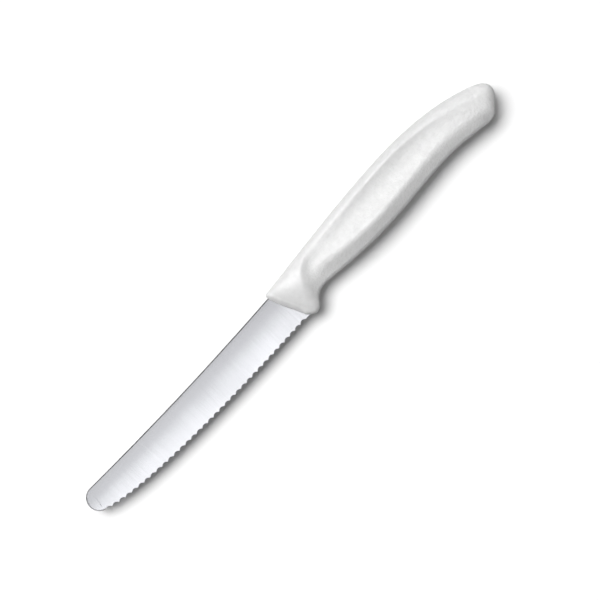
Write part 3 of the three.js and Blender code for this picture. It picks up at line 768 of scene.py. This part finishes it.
class HandleForm:
    """The handle's outline and thickness, worked out from its settings."""

    def __init__(self, settings, blade):
        self.s = s = settings
        self.slot_half = blade.sheet_thickness / 2 + s.front_wall
        spine = blade.spine_height
        heel = spine - blade.height
        point = np.array
        self.front_top = point((-s.front_lean, spine + s.front_lip))
        self.front_base = point((0, heel + s.edge_bare))
        neck = point((s.neck_setback - s.front_lean, spine + s.neck_cover))
        self.crown = point((s.length - s.crown_from_butt, s.crown_height))
        shoulder = point((s.length - s.shoulder_from_butt, s.shoulder_height))
        self.butt = point((s.length, s.butt_height))
        guard = point((s.guard_station, heel - s.guard_cover))
        self.choil = point((s.choil_station, -s.choil_drop))
        belly = point((s.belly_station, -s.belly_drop))
        waist = point((s.length - s.waist_from_butt, -s.waist_drop))
        hook = point((s.length - s.hook_from_butt, -s.hook_drop))
        hook_end = hook + (s.hook_length, s.hook_rise)
        self.front = outline(self.front_base, (self.front_top, FRONT_BOW))
        back_line = outline(
            self.front_top, (neck, NECK_TURN), (self.crown, BACK_CLIMB), (shoulder, BACK_FALL)
        )
        back_end = outline(shoulder, (self.butt, SHOULDER_TURN))
        finger_line = outline(
            self.front_base,
            (guard, GUARD_TURN),
            (self.choil, CHOIL_CLIMB),
            (belly, BELLY_FALL),
            (waist, WAIST_CLIMB),
            (hook, HOOK_FALL),
        )
        finger_end = outline(hook, (hook_end, HOOK_TURN), (self.butt, BUTT_TURN))
        self.back = np.concatenate((back_line, back_end[1:]))
        self.fingers = np.concatenate((finger_line, finger_end[1:]))
        crease_end = along(self.back, s.crease_length + s.front_lean) - (0, s.crease_cover)
        crease = quadratic(
            point((s.crease_start, self.front_base[1])),
            point((s.crease_turn, s.crease_height)),
            crease_end,
            np.linspace(0, 1, CURVE_STEPS),
        )
        self.front_points = spaced(self.front, LINE_POINTS)
        self.back_points = spaced(back_line, LINE_POINTS)
        self.finger_points = spaced(finger_line, LINE_POINTS)
        self.crease_points = spaced(crease, LINE_POINTS)
        self.butt_points = np.concatenate(
            (spaced(finger_end, LINE_POINTS), spaced(back_end, LINE_POINTS)[::-1])
        )

    def run_out(self, x):
        """How far the scoop has faded, from 0 to 1 at the butt."""
        end = self.butt[0] - self.s.butt_round
        return smooth(x, end - self.s.scoop_run_out, end)

    def scoop(self, x, y, front_fall):
        """Half thickness in the scoop."""
        s = self.s
        fade = self.run_out(x)
        dip = 1 - smooth(x, s.crease_length / 3, s.crease_length)
        floor = mix(s.scoop_half + x * math.tan(s.scoop_spread), s.scoop_rear_half, fade)
        line = s.scoop_line - front_fall * dip - s.scoop_rear_fall * fade
        hollow = (y - line) ** 2 / (2 * s.scoop_radius)
        return floor + mix(hollow, -((y - s.rear_axis) ** 2) / (2 * s.rear_radius), fade)

    def half(self, places, fingers):
        """Half thickness at each place, and how far each place lies on the grip behind the crease."""
        s = self.s
        x, y = places.T
        to_front = np.abs(offset(places, self.front_points))
        to_back = np.abs(offset(places, self.back_points))
        to_fingers = np.abs(offset(places, self.finger_points))
        to_butt = np.abs(offset(places, self.butt_points))
        behind_crease = offset(places, self.crease_points)
        slope = np.tan(mix(s.neck_slope, s.back_slope, smooth(x, s.crease_length, self.crown[0])))
        bevel = round_edge(to_back, s.back_round) + to_back * slope
        cheek = s.cheek_half + x * math.tan(s.cheek_spread) - (y - s.cheek_axis) ** 2 / (2 * s.cheek_radius)
        width = mix(s.scoop_wall_base, s.scoop_wall, smooth(y, self.choil[1] / 2, s.crease_height))
        wall = np.maximum(width - behind_crease, 0) ** 2 / (2 * width)
        wall *= math.tan(s.scoop_wall_slope) * (1 - smooth(x, s.wall_fade, s.wall_end))
        scoop = self.scoop(x, y, s.scoop_front_fall) + wall
        grip = np.where((fingers[:, 0] < self.choil[0])[:, None], self.choil, fingers)
        lift = s.ridge_front_rise * (1 - smooth(x, self.choil[0], s.belly_station))
        rise = s.ridge_rise + lift - s.ridge_rear_fall * self.run_out(x)
        swell = s.guard_swell * (1 - smooth(x, s.crease_start, self.choil[0]))
        ridge = self.scoop(grip[:, 0], grip[:, 1] + rise, 0) + swell
        edge = s.belly_wall - s.choil_thinning * (1 - smooth(x, self.choil[0], s.belly_station))
        foot = edge + s.belly_round
        flank = edge + round_edge(to_fingers, s.belly_round) + to_fingers * (ridge - foot) / rise
        run = np.minimum(to_front / s.front_run, 1)
        nose = self.slot_half + round_edge(to_front, s.front_round) + to_front * math.tan(s.front_slope)
        nose += 4 * s.front_bow * run * (1 - run)
        raised = soft(bevel, cheek, s.shoulder_blend)
        border = mix(s.crease_blend, s.rear_blend, smooth(x, self.crown[0], self.butt[0] - s.butt_round))
        scooped = soft(raised, scoop, border)
        blend = s.front_blend * np.clip(to_front / s.front_blend, LEAST_BLEND, 1)
        crest = mix(s.ridge_blend, s.ridge_rear_blend, self.run_out(x))
        side = np.maximum(soft(soft(scooped, flank, crest), nose, blend), 0)
        # The upright wall goes on round the butt, as far as there is room for it.
        half = mix(np.minimum(side, s.belly_wall), side, round_edge(to_butt, s.butt_round) / s.butt_round)
        return half, smooth(behind_crease, GRAIN_START, GRAIN_FULL)


def handle_piece(settings, blade, place):
    """The handle as two faces over one grid of stations, closed at the front edge and at the butt."""
    form = HandleForm(settings, blade)
    walk = (1 - np.cos(np.pi * np.arange(HANDLE_STATIONS) / HANDLE_STATIONS)) / 2
    across = (1 - np.cos(np.pi * np.arange(HANDLE_STRIPS + 1) / HANDLE_STRIPS)) / 2
    low = along(form.fingers, walk * measured(form.fingers)[-1])
    high = along(form.back, walk * measured(form.back)[-1])
    bulge = along(form.front, across * measured(form.front)[-1])
    bulge = bulge - mix(form.front_base, form.front_top, across[:, None])
    bow = np.maximum(1 - walk * settings.length / settings.crease_length, 0)
    flat = mix(low[:, None], high[:, None], across[None, :, None]) + bow[:, None, None] * bulge
    ring = HANDLE_STRIPS + 1
    fingers = np.repeat(low, ring, axis=0)
    flat = flat.reshape(-1, 2)
    half, grip = form.half(flat, fingers)
    half = half.reshape(-1, ring)
    half[:, 0] = 0
    half[:, -1] = 0
    half = half.ravel()
    flat = np.concatenate((flat, form.butt[None]))
    half = np.append(half, 0)
    grip = np.append(grip, 1)
    near = np.column_stack((flat, half))
    far = np.column_stack((flat, -half))
    points = np.concatenate((near, far)) + place
    total = len(flat)
    pole = total - 1
    faces = []
    for i in range(HANDLE_STATIONS - 1):
        for j in range(ring - 1):
            a = i * ring + j
            b = a + ring
            faces.append((a, b, b + 1, a + 1))
            faces.append((total + a, total + a + 1, total + b + 1, total + b))
    for j in range(ring - 1):
        a = (HANDLE_STATIONS - 1) * ring + j
        faces.append((a, pole, a + 1))
        faces.append((total + a, total + a + 1, total + pole))
        faces.append((j, j + 1, total + j + 1, total + j))
    return mesh_object("knife_handle", points, faces, HANDLE_SHARP, {"grip": np.tile(grip, 2)})


class KNIFE_OT_handle(bpy.types.Operator):
    """Build the moulded handle with its cheeks, scoops and hooked butt"""

    bl_idname = "knife.handle"
    bl_label = "Handle"

    def execute(self, context):
        settings = context.scene.knife_handle
        piece = handle_piece(settings, context.scene.knife_blade, knife_place(settings))
        piece.data.materials.append(moulded_polypropylene(settings))
        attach(piece, "root")
        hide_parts("handle")
        return {"FINISHED"}


# Stage


def lamp(name, kind, side, height, **settings):
    """A light that shines from a side round the knife and a height above the floor."""
    data = bpy.data.lights.new(name, kind)
    for key, value in settings.items():
        setattr(data, key, value)
    light = bpy.data.objects.new(name, data)
    light.rotation_euler = (math.pi / 2 - height, 0, side + math.pi / 2)
    bpy.context.scene.collection.objects.link(light)
    return light


def plain_floor(settings):
    """A sheet of white card that reaches out of the picture."""
    r = FLOOR_REACH
    corners = np.array([(-r, -r, 0), (r, -r, 0), (r, r, 0), (-r, r, 0)])
    floor = mesh_object("floor", corners, [(0, 1, 2, 3)], math.pi)
    floor.data.materials.append(white_card(settings))
    return floor


def soft_lights(settings, handle, floor):
    """Wide lights from behind, a low fill from the front and a strip above.

    The handle and the floor each have their own pair of wide lights. The floor's pair stands further
    round, which turns the shadow. The steel has none: they would only bleach it, and it shows the strip
    and the room instead.
    """
    wide = (
        ("key_light", settings.key_side, settings.key_height, settings.key_light),
        ("side_light", math.pi - settings.key_side, settings.side_height, settings.side_light),
    )
    for lit, turn in ((handle, 0), (floor, settings.floor_turn)):
        receivers = bpy.data.collections.new("lit_" + lit.name)
        receivers.objects.link(lit)
        for name, side, height, energy in wide:
            light = lamp(
                name + "_on_" + lit.name,
                "SUN",
                side + turn,
                height,
                angle=settings.key_spread,
                energy=energy,
            )
            light.light_linking.receiver_collection = receivers
    lamp(
        "fill_light",
        "SUN",
        FRONT_SIDE,
        settings.fill_height,
        angle=settings.fill_spread,
        energy=settings.fill_light,
    )
    strip = lamp(
        "strip_light",
        "AREA",
        FRONT_SIDE,
        OVERHEAD,
        shape="RECTANGLE",
        size=STRIP_SIZE[0],
        size_y=STRIP_SIZE[1],
        energy=settings.strip_light,
    )
    strip.location = STRIP_PLACE
    strip.visible_camera = False


def studio_room(settings):
    """A dim room, white to the camera, which has a dark foot, light walls and a ceiling in the steel."""
    world = bpy.data.worlds.new("studio_room")
    world.use_nodes = True
    tree = world.node_tree
    tree.nodes.clear()
    path = add(tree, "ShaderNodeLightPath").outputs
    way = add(tree, "ShaderNodeTexCoord").outputs["Generated"]
    height = add(tree, "ShaderNodeSeparateXYZ", {"Vector": way}).outputs["Z"]
    foot = (settings.wall_foot, 2 * settings.wall_foot, settings.room_light)
    top = (settings.wall_top, WALL_FULL, settings.ceiling_light)
    wall_ends = []
    for beyond, full, level in (foot, top):
        wall_end = add(
            tree,
            "ShaderNodeMapRange",
            {
                "Value": height,
                "From Min": math.sin(beyond),
                "From Max": math.sin(full),
                "To Min": level,
                "To Max": settings.wall_light,
            },
        )
        wall_ends.append(wall_end.outputs["Result"])
    walls = add(
        tree, "ShaderNodeMath", {0: wall_ends[0], 1: wall_ends[1]}, operation="MINIMUM"
    ).outputs["Value"]
    dim = add(
        tree,
        "ShaderNodeMapRange",
        {"Value": path["Is Glossy Ray"], "To Min": settings.room_light, "To Max": walls},
    ).outputs["Result"]
    level = add(
        tree,
        "ShaderNodeMapRange",
        {"Value": path["Is Camera Ray"], "To Min": dim, "To Max": 1.0},
    ).outputs["Result"]
    room = add(tree, "ShaderNodeBackground", {"Color": (1, 1, 1, 1), "Strength": level})
    add(tree, "ShaderNodeOutputWorld", {"Surface": room.outputs["Background"]})
    return world


def camera_above(settings, place):
    """A camera that looks straight down, turned so that the knife lies slanted in the picture."""
    camera = bpy.data.objects.new("camera", bpy.data.cameras.new("camera"))
    camera.data.lens = settings.lens
    camera.data.clip_start = NEAREST_SEEN
    camera.data.clip_end = FURTHEST_SEEN
    distance = settings.frame_width * settings.lens / camera.data.sensor_width
    camera.location = place + (settings.centre_x, settings.centre_y, distance)
    camera.rotation_euler = (0, 0, -settings.turn)
    bpy.context.scene.collection.objects.link(camera)
    return camera


class KNIFE_OT_stage(bpy.types.Operator):
    """Set up the floor, the soft lights and the camera above the knife"""

    bl_idname = "knife.stage"
    bl_label = "Stage"

    def execute(self, context):
        scene = context.scene
        settings = scene.knife_stage
        floor = plain_floor(settings)
        soft_lights(settings, bpy.data.objects["knife_handle"], floor)
        scene.world = studio_room(settings)
        scene.view_settings.view_transform = "Standard"
        scene.camera = camera_above(settings, knife_place(scene.knife_handle))
        return {"FINISHED"}


class KNIFE_PT_panel(bpy.types.Panel):
    """The knife's settings and build buttons"""

    bl_label = "Knife"
    bl_idname = "KNIFE_PT_panel"
    bl_space_type = "VIEW_3D"
    bl_region_type = "UI"
    bl_category = "Knife"

    def draw(self, context):
        for name, settings in (
            ("blade", context.scene.knife_blade),
            ("handle", context.scene.knife_handle),
            ("stage", context.scene.knife_stage),
        ):
            box = self.layout.box()
            box.operator(f"knife.{name}")
            for key in settings.__annotations__:
                box.prop(settings, key)


CLASSES = (
    KnifeBladeSettings,
    KnifeHandleSettings,
    KnifeStageSettings,
    KNIFE_OT_blade,
    KNIFE_OT_handle,
    KNIFE_OT_stage,
    KNIFE_PT_panel,
)


def register():
    for cls in CLASSES:
        bpy.utils.register_class(cls)
    bpy.types.Scene.knife_blade = PointerProperty(type=KnifeBladeSettings)
    bpy.types.Scene.knife_handle = PointerProperty(type=KnifeHandleSettings)
    bpy.types.Scene.knife_stage = PointerProperty(type=KnifeStageSettings)


def unregister():
    del bpy.types.Scene.knife_stage
    del bpy.types.Scene.knife_handle
    del bpy.types.Scene.knife_blade
    for cls in reversed(CLASSES):
        bpy.utils.unregister_class(cls)


def main():
    register()
    bpy.ops.knife.blade()
    bpy.ops.knife.handle()
    bpy.ops.knife.stage()


if __name__ == "__main__":
    main()
